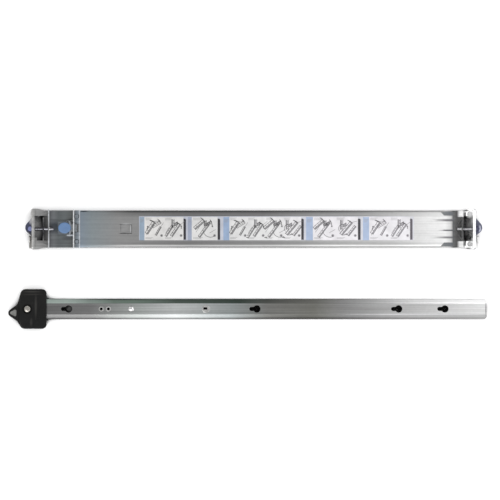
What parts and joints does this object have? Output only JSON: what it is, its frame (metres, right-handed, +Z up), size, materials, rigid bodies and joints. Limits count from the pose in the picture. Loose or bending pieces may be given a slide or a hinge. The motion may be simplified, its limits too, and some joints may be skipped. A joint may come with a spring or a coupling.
{
  "type": "server slide rail with mating chassis rail",
  "caption": "Telescopic ball-bearing rail for a rack cabinet with sprung tool-less end brackets, laid beside its detached keyholed chassis rail with a moulded ear.",
  "frame": {"origin": "on the surface that both rails lie on, midway along and across the pair", "axes": "+X along the rails to the rear of the cabinet, +Y from the chassis rail to the cabinet rail, +Z up, away from the surface"},
  "size_m": [0.6571, 0.165, 0.0245],
  "materials": {
    "zinc_steel": "zinc plated, satin",
    "bright_steel": "bright zinc",
    "cage_steel": "dull",
    "ball_steel": "polished",
    "spring_steel": "satin",
    "navy_plastic": "semi-gloss moulding",
    "boss_blue_plastic": "semi-gloss moulding",
    "boss_navy_plastic": "semi-gloss moulding",
    "pad_blue_plastic": "satin moulding",
    "black_plastic": "fine-grained moulding",
    "label_film": "printed film",
    "inlay_metal": "satin"
  },
  "bodies": {
    "cabinet_rail": {"cabinet_channel": "zinc_steel", "instruction_label": "label_film", "slide_outer_member": "zinc_steel", "spacer_rivets": "bright_steel", "bracket_rivets": "bright_steel", "front_bracket": "zinc_steel", "front_flange": "zinc_steel", "front_hook": "zinc_steel", "release_pivot_pin": "bright_steel"},
    "middle_slide": {"slide_middle_member": "zinc_steel"},
    "outer_cage": {"outer_ball_cages": "cage_steel", "outer_balls": "ball_steel"},
    "inner_cage": {"inner_ball_cages": "cage_steel", "inner_balls": "ball_steel"},
    "front_latch": {"front_button": "navy_plastic", "front_button_boss": "boss_blue_plastic", "front_latch_rod": "bright_steel", "front_rod_clip": "bright_steel", "front_latch_spring": "spring_steel"},
    "release": {"release_lever": "zinc_steel", "release_pad": "pad_blue_plastic", "release_spring": "spring_steel"},
    "rear_bracket": {"rear_bracket": "zinc_steel", "rear_flange": "zinc_steel", "rear_hook": "zinc_steel"},
    "rear_latch": {"rear_button": "navy_plastic", "rear_button_boss": "boss_navy_plastic", "rear_latch_rod": "bright_steel", "rear_rod_clip": "bright_steel", "rear_latch_spring": "spring_steel"},
    "chassis_rail": {"chassis_rail": "zinc_steel", "chassis_ear": "black_plastic", "ear_screw": "bright_steel", "ear_nut": "bright_steel", "nose_inlay": "inlay_metal", "lock_eyelets": "bright_steel", "slotted_boss": "bright_steel"},
    "lock": {"lock_leaf": "spring_steel", "lock_stud": "bright_steel"}
  },
  "joints": [
    {"name": "middle_slide_travel", "type": "slide", "parent": "cabinet_rail", "child": "middle_slide", "axis": [-1, 0, 0], "range_m": [0, 0.4]},
    {"name": "outer_cage_roll", "type": "slide", "parent": "cabinet_rail", "child": "outer_cage", "axis": [-1, 0, 0], "range_m": [0, 0.2]},
    {"name": "inner_cage_roll", "type": "slide", "parent": "middle_slide", "child": "inner_cage", "axis": [1, 0, 0], "range_m": [0, 0.2]},
    {"name": "depth_adjustment", "type": "slide", "parent": "cabinet_rail", "child": "rear_bracket", "axis": [1, 0, 0], "range_m": [0, 0.254]},
    {"name": "front_button_press", "type": "slide", "parent": "cabinet_rail", "child": "front_latch", "axis": [1, 0, 0], "range_m": [0, 0.005], "stiffness_N_per_m": 600, "springref_m": -0.001, "deforming": ["front_latch_spring"]},
    {"name": "rear_button_press", "type": "slide", "parent": "rear_bracket", "child": "rear_latch", "axis": [-1, 0, 0], "range_m": [0, 0.005], "stiffness_N_per_m": 600, "springref_m": -0.001, "deforming": ["rear_latch_spring"]},
    {"name": "release_press", "type": "hinge", "parent": "cabinet_rail", "child": "release", "pos_m": [-0.2445, 0.05598, 0.0152], "axis": [0, -1, 0], "range_deg": [0, 5.5], "stiffness_Nm_per_rad": 0.15, "springref_deg": -4.58, "deforming": ["release_spring"]},
    {"name": "chassis_rail_travel", "type": "slide", "parent": "cabinet_rail", "child": "chassis_rail", "axis": [-1, 0, 0], "range_m": [0, 0.4]},
    {"name": "lock_flex", "type": "hinge", "parent": "chassis_rail", "child": "lock", "pos_m": [-0.196, -0.05523, 0.0079], "axis": [0, -1, 0], "range_deg": [0, 2.4], "stiffness_Nm_per_rad": 0.6, "springref_deg": -1.15, "deforming": ["lock_leaf"]}
  ],
  "couplings": [
    {"joint": "outer_cage_roll", "follows": "middle_slide_travel", "ratio": 0.5},
    {"joint": "inner_cage_roll", "follows": "middle_slide_travel", "ratio": 0.5}
  ]
}
